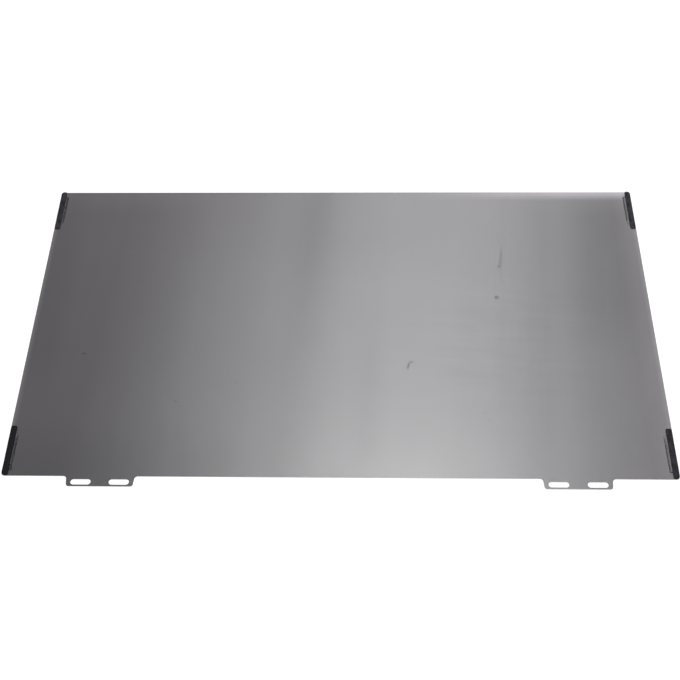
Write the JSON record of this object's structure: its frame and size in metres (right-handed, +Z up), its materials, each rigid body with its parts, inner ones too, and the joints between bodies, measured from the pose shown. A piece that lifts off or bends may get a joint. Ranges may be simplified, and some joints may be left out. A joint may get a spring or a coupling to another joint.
{
  "type": "monitor privacy filter",
  "caption": "Thin smoky-grey privacy filter sheet for a widescreen monitor, with slotted hanging tabs on one long edge and black strips on clear pads at its corners.",
  "frame": {"origin": "centre of the sheet's rectangle, on its underside, where it lies on the table", "axes": "+X along the sheet's width, +Y away from the edge with the hanging tabs, +Z up, out of the face that carries the strips"},
  "size_m": [0.598, 0.346, 0.0024],
  "materials": {
    "filter_film": "satin smoky film, see-through only along its louvres",
    "black_strip": "matt black foam rubber",
    "clear_adhesive": "clear glossy adhesive"
  },
  "bodies": {
    "root": {"filter_panel": "filter_film", "adhesive_pad_front_left": "clear_adhesive", "adhesive_pad_front_right": "clear_adhesive", "adhesive_pad_back_left": "clear_adhesive", "adhesive_pad_back_right": "clear_adhesive", "corner_strip_front_left": "black_strip", "corner_strip_front_right": "black_strip", "corner_strip_back_left": "black_strip", "corner_strip_back_right": "black_strip"}
  },
  "joints": []
}
